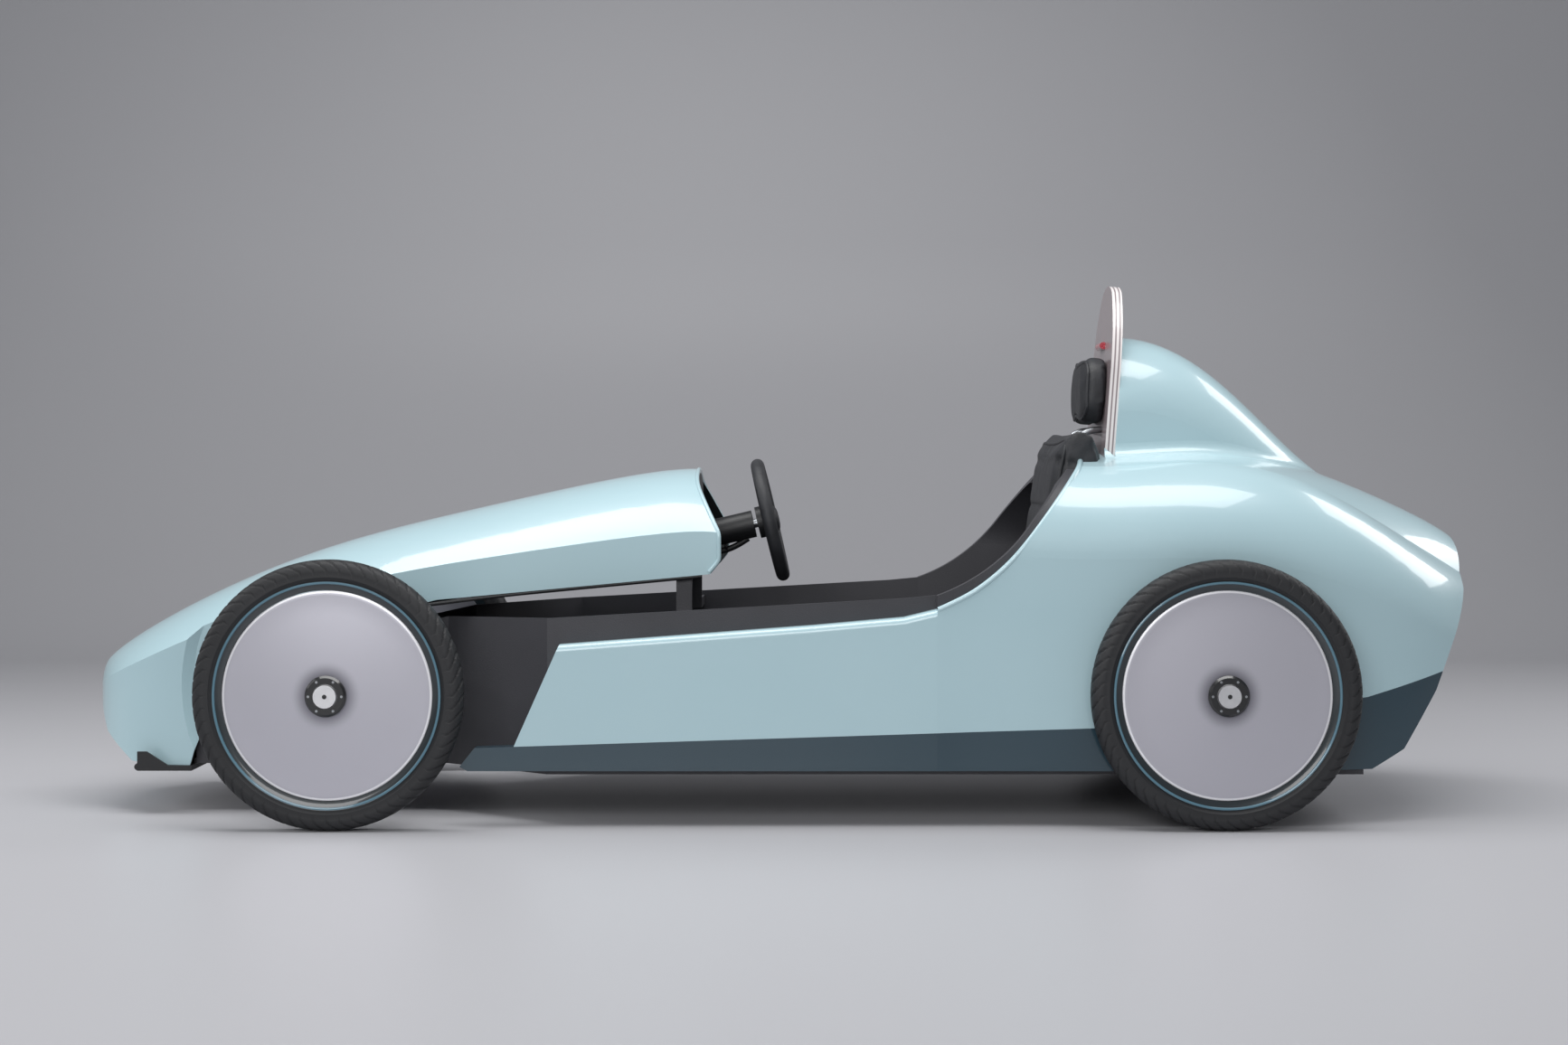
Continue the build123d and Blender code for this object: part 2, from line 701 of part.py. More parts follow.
# Wheels: tyre, dished disc with its rim, hub ring and axle cap
tyre_section = [
    # radius, offset from the mid-plane
    (rim_radius, 17),
    (rim_radius + 12, 21),
    (tyre_radius - 18, tyre_width / 2),
    (tyre_radius - 6, tyre_width / 2 - 7),
    (tyre_radius, 6),
]
rim_half = 17.0
disc_edge_y = 13.0
disc_hub_y = 24.0
disc_sheet = 4.0
wheel_places = [
    # name, axle x, side
    ("front_left", front_axle_x, 1),
    ("front_right", front_axle_x, -1),
    ("rear_left", rear_axle_x, 1),
    ("rear_right", rear_axle_x, -1),
]
for place, axle_x, side in wheel_places:
    axis = Axis((axle_x, 0, tyre_radius), (0, 1, 0))
    wheel_plane = Plane(origin=(axle_x, side * wheel_y, tyre_radius), x_dir=(0, 0, 1), z_dir=(-side, 0, 0))
    with BuildPart() as tyre:
        with BuildSketch(wheel_plane):
            Polygon(*tyre_section, *[(r, -y) for r, y in reversed(tyre_section)], align=None)
        revolve(axis=axis)
    save(tyre, f"tyre_{place}")

    with BuildPart() as wheel_disc:
        with BuildSketch(wheel_plane):
            Polygon(
                (spindle_radius + bore_gap, disc_hub_y),
                (hub_radius, disc_hub_y),
                (disc_radius, disc_edge_y),
                (disc_radius, rim_half + 3),
                (rim_radius + 6, rim_half + 3),
                (rim_radius + 6, rim_half + 2),
                (rim_radius, rim_half),
                (rim_radius, -rim_half),
                (rim_radius + 6, -rim_half - 2),
                (rim_radius + 6, -rim_half - 3),
                (disc_radius, -rim_half - 3),
                (disc_radius, disc_edge_y - disc_sheet),
                (hub_radius, disc_hub_y - disc_sheet),
                (hub_radius, -disc_hub_y),
                (spindle_radius + bore_gap, -disc_hub_y),
                align=None,
            )
        revolve(axis=axis)
    save(wheel_disc, f"wheel_disc_{place}")

    with BuildPart() as hub_ring:
        with BuildSketch(wheel_plane):
            Polygon(
                (spindle_radius + bore_gap, disc_hub_y),
                (hub_radius, disc_hub_y),
                (hub_radius, disc_hub_y + 4),
                (hub_radius - 4, disc_hub_y + 8),
                (spindle_radius + bore_gap, disc_hub_y + 8),
                align=None,
            )
        revolve(axis=axis)
    save(hub_ring, f"hub_ring_{place}")

    with BuildPart() as axle_cap:
        with BuildSketch(wheel_plane):
            Polygon(
                (0, disc_hub_y + 8),
                (cap_radius, disc_hub_y + 8),
                (cap_radius - 2, disc_hub_y + 13),
                (4, disc_hub_y + 13),
                (4, disc_hub_y + 10),
                (0, disc_hub_y + 10),
                align=None,
            )
        revolve(axis=axis)
    save(axle_cap, f"axle_cap_{place}")

# Pedal unit: a generator drum on a pedestal, turned by two cranks
with BuildPart() as pedal_unit:
    with Locations(Location((crank_x, 0, crank_z), (90, 0, 0))):
        Cylinder(62, 84)
    with Locations((crank_x, 0, (floor_top + crank_z) / 2)):
        Box(70, 60, crank_z - floor_top)
    with Locations((crank_x, 0, floor_top + 4)):
        Box(150, 110, 8)
    with Locations(Location((crank_x, 0, crank_z), (90, 0, 0))):
        Cylinder(8 + bore_gap, 200, mode=Mode.SUBTRACT)
save(pedal_unit, "pedal_unit")

crank_inner_y = 52.0
crank_thickness = 14.0
with BuildPart() as crank_set:
    with Locations(Location((crank_x, 0, crank_z), (90, 0, 0))):
        Cylinder(8, 2 * (crank_inner_y + crank_thickness))
    for side in (1, -1):
        with Locations((crank_x + side * crank_arm / 2, side * (crank_inner_y + crank_thickness / 2), crank_z)):
            Box(crank_arm + 24, crank_thickness, 24)
save(crank_set, "crank_set")

for side, hand in ((1, "left"), (-1, "right")):
    pedal_y = side * (crank_inner_y + crank_thickness + 45)
    with BuildPart() as pedal:
        with Locations((crank_x + side * crank_arm, pedal_y, crank_z)):
            Box(58, 90, 18)
    save(pedal, f"pedal_{hand}")

# Battery pack and drive motor: plain housings on the floor behind the seat
with BuildPart() as battery_pack:
    with Locations((-985, 0, floor_top + 80)):
        Box(200, 420, 160)
    fillet(battery_pack.edges().filter_by(Axis.Z), 12)
save(battery_pack, "battery_pack")

with BuildPart() as drive_motor:
    with Locations(Location((-728, 0, 190), (90, 0, 0))):
        Cylinder(52, 170)
    with Locations((-728, 0, (floor_top + 190) / 2)):
        Box(90, 120, 190 - floor_top)
save(drive_motor, "drive_motor")
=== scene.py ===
import json
import math

import bmesh
import bpy
from mathutils import Matrix, Vector


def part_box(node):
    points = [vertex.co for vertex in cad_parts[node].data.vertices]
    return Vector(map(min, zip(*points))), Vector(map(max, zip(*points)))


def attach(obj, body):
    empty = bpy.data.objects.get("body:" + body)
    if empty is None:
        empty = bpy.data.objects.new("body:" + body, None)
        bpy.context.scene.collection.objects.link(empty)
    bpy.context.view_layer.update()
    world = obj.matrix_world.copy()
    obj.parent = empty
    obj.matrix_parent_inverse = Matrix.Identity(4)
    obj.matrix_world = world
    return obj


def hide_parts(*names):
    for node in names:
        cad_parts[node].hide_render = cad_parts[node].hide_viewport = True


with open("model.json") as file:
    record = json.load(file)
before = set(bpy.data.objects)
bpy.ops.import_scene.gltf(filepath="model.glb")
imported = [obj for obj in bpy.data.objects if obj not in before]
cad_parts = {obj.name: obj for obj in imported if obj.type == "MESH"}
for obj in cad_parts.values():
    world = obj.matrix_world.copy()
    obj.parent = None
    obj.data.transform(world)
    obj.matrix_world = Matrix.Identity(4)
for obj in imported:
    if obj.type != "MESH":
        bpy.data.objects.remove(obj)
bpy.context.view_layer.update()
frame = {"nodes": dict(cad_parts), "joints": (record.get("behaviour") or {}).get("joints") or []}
nodes = frame["nodes"]


# Studio: a seamless pale grey sweep under large soft lamps, as a car maker
# photographs a body so that its crown and creases show as broad highlights.
def linear(hex_colour):
    """Linear RGBA of an sRGB hex colour such as #a9cdd3."""
    values = [int(hex_colour[i:i + 2], 16) / 255 for i in (1, 3, 5)]
    return [v / 12.92 if v <= 0.04045 else ((v + 0.055) / 1.055) ** 2.4 for v in values] + [1.0]


def add_node(material, kind, settings=None, **inputs):
    """One shader node, with its settings, and its inputs set or linked by name."""
    made = material.node_tree.nodes.new(kind)
    for name, value in (settings or {}).items():
        setattr(made, name, value)
    for name, value in inputs.items():
        socket = made.inputs[int(name[1:]) if name[1:].isdigit() else name.replace("_", " ")]
        if isinstance(value, bpy.types.NodeSocket):
            material.node_tree.links.new(value, socket)
        else:
            socket.default_value = value
    return made


def new_material(name):
    """Empty node material, for a pattern and its surface to be added."""
    material = bpy.data.materials.new(name)
    material.use_nodes = True
    material.node_tree.nodes.clear()
    return material


def close_material(material, **inputs):
    """Principled surface with the given sockets, joined to the output."""
    shader = add_node(material, "ShaderNodeBsdfPrincipled", **inputs)
    add_node(material, "ShaderNodeOutputMaterial", Surface=shader.outputs[0])
    return material


# Emulsion paint on the sweep, with the slight sheen of a rolled coat.
sweep_grey = new_material("painted_studio_sweep")
close_material(sweep_grey, Base_Color=linear("#b4b4b8"), Roughness=0.42)

floor_front, floor_back = 7.0, -3.2
sweep_half, sweep_height = 14.0, 8.0
sweep_radius, sweep_steps = 1.6, 12
sweep_mesh = bpy.data.meshes.new("studio_sweep")
sweep_path = [(floor_front, 0.0), (floor_back, 0.0)]
for step in range(1, sweep_steps + 1):
    angle = math.pi / 2 * step / sweep_steps
    sweep_path.append((floor_back - sweep_radius * math.sin(angle), sweep_radius * (1 - math.cos(angle))))
sweep_path.append((floor_back - sweep_radius, sweep_height))
sweep_points = [(x, y, z) for y, z in sweep_path for x in (-sweep_half, sweep_half)]
sweep_faces = [(2 * i, 2 * i + 1, 2 * i + 3, 2 * i + 2) for i in range(len(sweep_path) - 1)]
sweep_mesh.from_pydata(sweep_points, [], sweep_faces)
sweep_mesh.shade_smooth()
sweep = bpy.data.objects.new("studio_sweep", sweep_mesh)
bpy.context.scene.collection.objects.link(sweep)
sweep.data.materials.append(sweep_grey)

lamp_rows = [
    # name, place, aim, size across and along, watts
    ("overhead_bank", (0.2, 0.6, 3.6), (0.0, 0.0, 0.3), 4.6, 1.6, 126),
    ("front_fill", (1.2, 5.2, 2.4), (0.0, 0.0, 0.4), 3.4, 2.2, 116),
    ("tail_edge", (-3.6, -1.0, 2.4), (-0.6, 0.0, 0.5), 1.4, 2.0, 40),
    ("nose_edge", (3.8, 0.4, 2.0), (0.8, 0.0, 0.3), 1.2, 1.8, 34),
]
for lamp_name, place, aim, across, along, watts in lamp_rows:
    lamp_data = bpy.data.lights.new(lamp_name, "AREA")
    lamp_data.shape = "RECTANGLE"
    lamp_data.size = across
    lamp_data.size_y = along
    lamp_data.energy = watts
    lamp = bpy.data.objects.new(lamp_name, lamp_data)
    lamp.location = place
    lamp.rotation_euler = (Vector(aim) - Vector(place)).to_track_quat("-Z", "Y").to_euler()
    bpy.context.scene.collection.objects.link(lamp)

world = bpy.data.worlds.new("studio_air")
world.use_nodes = True
air = world.node_tree.nodes["Background"]
air.inputs["Color"].default_value = linear("#c8cacd")
air.inputs["Strength"].default_value = 0.42
bpy.context.scene.world = world
bpy.context.scene.view_settings.view_transform = "Standard"

# Camera: square to the car's left side, with the lens and the shift worked out
# from the pixels of the photograph's frame.
photo_width, photo_height = 1734, 1156
focal_pixels = 2490
axis_column, axis_row = 890, 515
sensor_width = 36.0
camera_data = bpy.data.cameras.new("side_camera")
camera_data.sensor_width = sensor_width
camera_data.lens = sensor_width * focal_pixels / photo_width
camera_data.shift_x = (photo_width / 2 - axis_column) / photo_width
camera_data.shift_y = (axis_row - photo_height / 2) / photo_width
camera = bpy.data.objects.new("side_camera", camera_data)
camera.location = (-0.053, 4.565, 0.673)
camera.rotation_euler = (math.pi / 2, 0, math.pi)
bpy.context.scene.collection.objects.link(camera)
bpy.context.scene.camera = camera


# Body shells: glass-fibre mouldings in a pale aqua two-pack enamel under clear
# lacquer. The eye sees a flat colour with a hard clear coat and a faint ripple.
def dress(node_name, material):
    """Give a CAD node its finish."""
    piece = nodes[node_name]
    piece.data.materials.clear()
    piece.data.materials.append(material)


def metres_map(material):
    """Object coordinates in metres, the same on every piece."""
    return add_node(material, "ShaderNodeTexCoord").outputs["Object"]


def enamel(name, colour, shade, core=None):
    """Lacquered enamel: a faint cloud in the colour and orange peel in the coat.

    core is a point inside a hollow shell: faces that look towards it, or towards
    the long axis through it, are drawn dark grey and rougher, as painted shade of the moulding's inside.
    The cloud is 330 mm across. Orange peel is 2.4 mm, coarser than real, to show.
    """
    paint_rough, inside_rough = 0.3, 0.7
    along_share = 0.15
    material = new_material(name)
    place = metres_map(material)
    cloud = add_node(material, "ShaderNodeTexNoise", Vector=place, Scale=3.0, Detail=2.0)
    tint = add_node(material, "ShaderNodeMix", {"data_type": "RGBA"}, Factor=cloud.outputs["Fac"],
                    i6=linear(colour), i7=linear(shade)).outputs[2]
    peel = add_node(material, "ShaderNodeTexNoise", Vector=place, Scale=420.0, Detail=1.0)
    ripple = add_node(material, "ShaderNodeBump", Height=peel.outputs["Fac"], Strength=0.04,
                      Distance=0.0004)
    rough = paint_rough
    if core:
        face = add_node(material, "ShaderNodeNewGeometry")
        outward = add_node(material, "ShaderNodeVectorMath", {"operation": "SUBTRACT"},
                           i0=face.outputs["Position"], i1=core)
        across = add_node(material, "ShaderNodeVectorMath", {"operation": "MULTIPLY"},
                          i0=outward.outputs[0], i1=(along_share, 1.0, 1.0))
        looks_out = add_node(material, "ShaderNodeVectorMath", {"operation": "DOT_PRODUCT"},
                             i0=across.outputs[0], i1=face.outputs["True Normal"])
        outside = add_node(material, "ShaderNodeMath", {"operation": "GREATER_THAN"},
                           i0=looks_out.outputs["Value"], i1=0.0)
        # Painted shade: faces looking in towards the core get dark grey #2b3234 instead of the paint.
        tint = add_node(material, "ShaderNodeMix", {"data_type": "RGBA"}, Factor=outside.outputs[0],
                        i6=linear("#2b3234"), i7=tint).outputs[2]
        rough = add_node(material, "ShaderNodeMapRange", Value=outside.outputs[0], To_Min=inside_rough,
                         To_Max=paint_rough).outputs[0]
    return close_material(material, Base_Color=tint, Roughness=rough, Normal=ripple.outputs["Normal"],
                          Coat_Weight=0.7, Coat_Roughness=0.05)


aqua_light, aqua_shade = "#b0cbd2", "#a8c5cd"
teal_light, teal_shade = "#213d4a", "#1c3541"
aqua_enamel = enamel("aqua_enamel", aqua_light, aqua_shade)
# The cores below give the inside faces of the valance, bonnet and tail their dark grey painted shade.
valance_enamel = enamel("deep_teal_enamel", teal_light, teal_shade, core=(-0.8, 0.0, 0.4))
dress("bonnet", enamel("bonnet_enamel", aqua_light, aqua_shade, core=(0.7, 0.0, 0.3)))
dress("tail_shell", enamel("tail_enamel", aqua_light, aqua_shade, core=(-0.85, 0.0, 0.33)))
sill_enamel = enamel("sill_enamel", teal_light, teal_shade)
for hand in ("left", "right"):
    dress(f"side_panel_{hand}", aqua_enamel)
    dress(f"sill_{hand}", sill_enamel)
dress("tail_valance", valance_enamel)


# Rolled edge: the lip of the tail moulding beside the seat is turned over into a
# round bead, which runs up both flanks and across the front of the deck.
def fit_piece(data, material, body, stands_for=None):
    """Object named for its mesh or curve, with its finish and body; the CAD node it stands for is hidden."""
    piece = bpy.data.objects.new(data.name, data)
    bpy.context.scene.collection.objects.link(piece)
    data.materials.append(material)
    if stands_for:
        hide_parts(stands_for)
    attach(piece, body)


def tube(name, points, radius, material, body, cyclic=False):
    """Round bead or rod along a smooth line of points."""
    line = bpy.data.curves.new(name, "CURVE")
    line.dimensions = "3D"
    line.bevel_depth = radius
    line.bevel_resolution = 3
    spline = line.splines.new("NURBS")
    spline.points.add(len(points) - 1)
    for point, spot in zip(spline.points, points):
        point.co = (*spot, 1.0)
    spline.order_u = 3
    spline.use_endpoint_u = not cyclic
    spline.use_cyclic_u = cyclic
    line.use_fill_caps = True
    fit_piece(line, material, body)


flank_top, shoulder_round = 0.5, 0.1864
flank_half = 0.371
edge_points = [(-0.302, 0.404), (-0.35, 0.425), (-0.395, 0.455), (-0.439, 0.494),
               (-0.478, 0.54), (-0.528, 0.605), (-0.567, 0.656)]
bead = []
for x, z in edge_points:
    rise = max(0.0, z - flank_top)
    bead.append((x, flank_half - shoulder_round + math.sqrt(shoulder_round ** 2 - rise ** 2), z))
bead += [(-0.581, 0.247, 0.674), (-0.592, 0.16, 0.688), (-0.598, 0.06, 0.696)]
bead += [(x, -y, z) for x, y, z in reversed(bead)]
tube("tail_rolled_edge", bead, 0.0055, aqua_enamel, "chassis")


# Cowl lip: the bonnet's rear rim is turned over the same way, from its lower
# corner up the flank and across the crown ahead of the dash.
def skin_point(node_name, start, direction):
    """Where a line from outside first meets a CAD node."""
    piece = nodes[node_name]
    back = piece.matrix_world.inverted()
    aim = (back.to_3x3() @ Vector(direction)).normalized()
    hit, spot, _, _ = piece.ray_cast(back @ Vector(start), aim)
    return piece.matrix_world @ spot if hit else None


cowl_rim = [(0.129, 0.466), (0.109, 0.49), (0.109, 0.542), (0.158, 0.64)]
rim_inset = 0.003


def rim_x(z):
    """X of the cowl's rear rim at height z."""
    for (x_low, z_low), (x_high, z_high) in zip(cowl_rim, cowl_rim[1:]):
        if z <= z_high:
            return x_low + (x_high - x_low) * (z - z_low) / (z_high - z_low) + rim_inset
    return cowl_rim[-1][0] + rim_inset


bpy.context.view_layer.update()
lip = []
for z in (0.468, 0.478, 0.49, 0.507, 0.525, 0.542, 0.56, 0.578):
    lip.append(skin_point("bonnet", (rim_x(z), 0.6, z), (0, -1, 0)))
for y in (0.2, 0.175, 0.14, 0.1, 0.05, 0.0):
    z = skin_point("bonnet", (cowl_rim[-1][0] + rim_inset, y, 1.0), (0, 0, -1)).z
    lip.append(skin_point("bonnet", (rim_x(z), y, 1.0), (0, 0, -1)))
lip = [spot for spot in lip if spot]
lip += [Vector((spot.x, -spot.y, spot.z)) for spot in reversed(lip[:-1])]
tube("cowl_rolled_lip", lip, 0.0042, aqua_enamel, "chassis")


# Tub, floor and bulkheads: folded sheet sides in a dark grey textured coat,
# with the fine leathery grain of moulded ABS.
def moulded_grain(name, colour, grain_mm, roughness):
    """Moulded plastic or powder coat: a pebble grain and worn patches of 110 mm.

    Grains are drawn a few times coarser than real ones, so that they show.
    """
    material = new_material(name)
    place = metres_map(material)
    pebble = add_node(material, "ShaderNodeTexVoronoi", Vector=place, Scale=1000.0 / grain_mm)
    patch = add_node(material, "ShaderNodeTexNoise", Vector=place, Scale=9.0, Detail=4.0)
    tone = add_node(material, "ShaderNodeMix", {"data_type": "RGBA"}, Factor=patch.outputs["Fac"],
                    i6=linear(colour), i7=[c * 0.72 for c in linear(colour)[:3]] + [1.0])
    rough = add_node(material, "ShaderNodeMapRange", Value=patch.outputs["Fac"], To_Min=roughness - 0.08,
                     To_Max=roughness + 0.08)
    bump = add_node(material, "ShaderNodeBump", Height=pebble.outputs["Distance"], Strength=0.25,
                    Distance=0.0006)
    return close_material(material, Base_Color=tone.outputs[2], Roughness=rough.outputs[0],
                          Normal=bump.outputs["Normal"])


tub_coat = moulded_grain("dark_grey_tub_coat", "#3b3b40", 2.2, 0.5)
black_abs = moulded_grain("black_moulded_abs", "#1c1d20", 1.8, 0.46)
for name in ("tub_wall_left", "tub_wall_right", "floor_pan", "scuttle_frame", "seat_bulkhead",
             "cockpit_liner_left", "cockpit_liner_right"):
    dress(name, tub_coat)
for name in ("front_skid", "dash_panel", "steering_column", "pedal_unit", "battery_pack",
             "pedal_left", "pedal_right"):
    dress(name, black_abs)


# Skid edge: a round rubber edging, slit along its back and pushed over the front
# lip of the skid, so that the lip doesn't cut or scrape.
edging_radius, edging_inset = 0.007, 0.004
skid_low, skid_high = (Vector(corner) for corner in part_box("front_skid"))
edging_across = (skid_low.y + edging_inset, skid_low.y / 2, skid_high.y / 2, skid_high.y - edging_inset)
skid_edge = [(skid_high.x, y, skid_low.z + edging_radius) for y in edging_across]
tube("skid_edging", skid_edge, edging_radius, black_abs, "chassis")


# Weather strip: a black rubber seal under the bonnet's lower edge on each side,
# pushed on to the shell before the bonnet is dropped over the scuttle.
for hand, side in (("left", 1), ("right", -1)):
    seal = [(0.69, side * 0.222, 0.402), (0.56, side * 0.2245, 0.42), (0.38, side * 0.2275, 0.4375),
            (0.23, side * 0.229, 0.452), (0.145, side * 0.2295, 0.46)]
    tube(f"bonnet_seal_{hand}", seal, 0.004, black_abs, "chassis")


# Running gear: stubs, knuckles, rack, axle, shaft, crank and motor case, of turned
# and welded steel. Zinc plating gives them a grey sheen over fine lathe lines.
def turned_metal(name, colour, roughness):
    """Machined metal: a patchy sheen and tool marks, drawn at 4 mm so that they show."""
    material = new_material(name)
    place = metres_map(material)
    streak = add_node(material, "ShaderNodeTexNoise", Vector=place, Scale=260.0, Detail=3.0)
    rough = add_node(material, "ShaderNodeMapRange", Value=streak.outputs["Fac"], To_Min=roughness - 0.1,
                     To_Max=roughness + 0.12)
    bump = add_node(material, "ShaderNodeBump", Height=streak.outputs["Fac"], Strength=0.05,
                    Distance=0.0003)
    return close_material(material, Base_Color=linear(colour), Metallic=1.0, Roughness=rough.outputs[0],
                          Normal=bump.outputs["Normal"])


zinc_steel = turned_metal("zinc_plated_steel", "#a3a6aa", 0.38)
cap_alloy = turned_metal("turned_cap_alloy", "#e2e2e4", 0.34)
for name in ("axle_stub_left", "axle_stub_right", "knuckle_left", "knuckle_right", "rack_bar",
             "rear_axle", "steering_box", "steering_shaft", "crank_set", "drive_motor"):
    dress(name, zinc_steel)


# Wheels: 20 inch tyres on painted rims, closed by spun satin discs that bolt to
# a black hub ring with a turned cap over the axle.
wheel_rows = [
    # place, body, side of the car
    ("front_left", "wheel_front_left", 1),
    ("front_right", "wheel_front_right", -1),
    ("rear_left", "wheel_rear_left", 1),
    ("rear_right", "wheel_rear_right", -1),
]


def lathe(name, section, centre, side, turns, closed=True):
    """Mesh of a ring turned about the axle from (radius, outward offset) points."""
    mesh = bpy.data.meshes.new(name)
    points = []
    for turn in range(turns):
        angle = 2 * math.pi * turn / turns
        for radius, out in section:
            points.append((centre[0] + radius * math.sin(angle), centre[1] + side * out,
                           centre[2] + radius * math.cos(angle)))
    count = len(section)
    spans = count if closed else count - 1
    faces = []
    for turn in range(turns):
        here, after = turn * count, (turn + 1) % turns * count
        for i in range(spans):
            j = (i + 1) % count
            quad = (here + i, here + j, after + j, after + i)
            faces.append(quad if side > 0 else quad[::-1])
    mesh.from_pydata(points, [], faces)
    mesh.shade_smooth()
    mesh.set_sharp_from_angle(angle=math.radians(35))
    return mesh


def mesh_from(stock, name):
    """Named mesh from a bmesh, which is then let go."""
    mesh = bpy.data.meshes.new(name)
    stock.to_mesh(mesh)
    stock.free()
    return mesh


def wheel_centre(place):
    """Middle of a wheel, from its tyre's CAD box."""
    low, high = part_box(f"tyre_{place}")
    return Vector(((a + b) / 2 for a, b in zip(low, high)))


# Vulcanised rubber is a dull black, and the painted rings beside it are glossy.
tyre_rubber = moulded_grain("vulcanised_tyre_rubber", "#212225", 1.6, 0.6)
rim_gloss = enamel("rim_black_gloss", "#1c262c", "#172025")
line_gloss = enamel("rim_line_teal", "#587f90", "#4c7182")
hub_gloss = enamel("hub_black_gloss", "#0b0c0e", "#131417")

# The discs are spun from alloy sheet: a haze of rings, drawn 2 mm apart to show,
# a painted shade that darkens the face towards the hub, and a painted highlight on the polished rolled edge.
disc_satin = new_material("spun_disc_satin")
disc_place = add_node(disc_satin, "ShaderNodeTexCoord").outputs["Generated"]
disc_flat = add_node(disc_satin, "ShaderNodeVectorMath", {"operation": "MULTIPLY_ADD"}, i0=disc_place,
                     i1=(1.0, 0.0, 1.0), i2=(-0.5, 0.0, -0.5))
disc_reach = add_node(disc_satin, "ShaderNodeVectorMath", {"operation": "LENGTH"}, i0=disc_flat.outputs[0])
# Painted shade: the disc face goes from #b6b5be down to #75747d towards the hub.
disc_hub_shade = add_node(disc_satin, "ShaderNodeMapRange", {"interpolation_type": "SMOOTHSTEP"},
                     Value=disc_reach.outputs["Value"], From_Min=0.085, From_Max=0.17)
# Painted highlight: a near-white ring, #f2f2f6, where the polished rolled edge catches the light.
disc_edge_highlight = add_node(disc_satin, "ShaderNodeMapRange", Value=disc_reach.outputs["Value"], From_Min=0.486,
                     From_Max=0.491)
disc_face_tone = add_node(disc_satin, "ShaderNodeMix", {"data_type": "RGBA"}, Factor=disc_hub_shade.outputs[0],
                          i6=linear("#75747d"), i7=linear("#b6b5be"))
disc_tone = add_node(disc_satin, "ShaderNodeMix", {"data_type": "RGBA"}, Factor=disc_edge_highlight.outputs[0],
                     i6=disc_face_tone.outputs[2], i7=linear("#f2f2f6"))
disc_rings = add_node(disc_satin, "ShaderNodeTexWave", {"wave_type": "RINGS", "rings_direction": "Y"},
                      Vector=disc_flat.outputs[0], Scale=60.0, Distortion=1.5, Detail=2.0)
disc_rough = add_node(disc_satin, "ShaderNodeMapRange", Value=disc_rings.outputs["Fac"], To_Min=0.34,
                      To_Max=0.46)
close_material(disc_satin, Base_Color=disc_tone.outputs[2], Metallic=0.4,
               Roughness=disc_rough.outputs[0])

# Tyre section: bead and side wall, then the crown from one side to the other.
crown_core, crown_rise, crown_half = 0.2275, 0.0225, 0.0243
crown_steps, crown_power = 24, 0.8
bead_side = [(0.205, 0.0165), (0.2115, 0.0195), (0.2165, 0.0219), (0.2172, 0.0229), (0.2185, 0.0232),
             (0.2195, 0.0229)]
crown = []
for step in range(crown_steps + 1):
    lean = math.pi * (step / crown_steps - 0.5)
    crown.append((crown_core + crown_rise * math.cos(lean) ** crown_power,
                  -math.copysign(crown_half * abs(math.sin(lean)) ** crown_power, lean)))
tyre_section = bead_side + crown + [(radius, -out) for radius, out in reversed(bead_side)]
tyre_turns = 840

# Tread: curved grooves run from beside the crown to the shoulder and narrow there.
groove_count, groove_share, groove_depth = 60, 0.26, 0.003
groove_start, groove_end = 0.12, 0.92
groove_sweep, groove_bend, groove_taper = 1.3, 1.6, 1.1

# Rim, its painted line, and the disc with its boss, all as (radius, outward offset).
ring_turns = 180
rim_front = [(0.2049, 0.0168), (0.2105, 0.0188), (0.2112, 0.0196), (0.2105, 0.0203), (0.2085, 0.0198),
             (0.203, 0.017), (0.1985, 0.0158), (0.194, 0.0152)]
rim_back = [(0.194, -0.018), (0.2105, -0.02), (0.2049, -0.0168)]
line_reach, line_out, line_radius, line_corners = 0.2078, 0.0192, 0.0026, 8
line_section = []
for corner in range(line_corners):
    angle = 2 * math.pi * corner / line_corners
    line_section.append((line_reach + line_radius * math.cos(angle),
                         line_out + line_radius * math.sin(angle)))
disc_face = [(0.0105, 0.0238), (0.038, 0.0238), (0.07, 0.0224), (0.11, 0.0198), (0.15, 0.0165),
             (0.184, 0.0135), (0.1915, 0.0135), (0.1935, 0.0125)]
disc_back = [(0.1935, 0.0095), (0.15, 0.0125), (0.11, 0.0158), (0.07, 0.0184), (0.038, 0.0198),
             (0.036, -0.024), (0.0105, -0.024)]

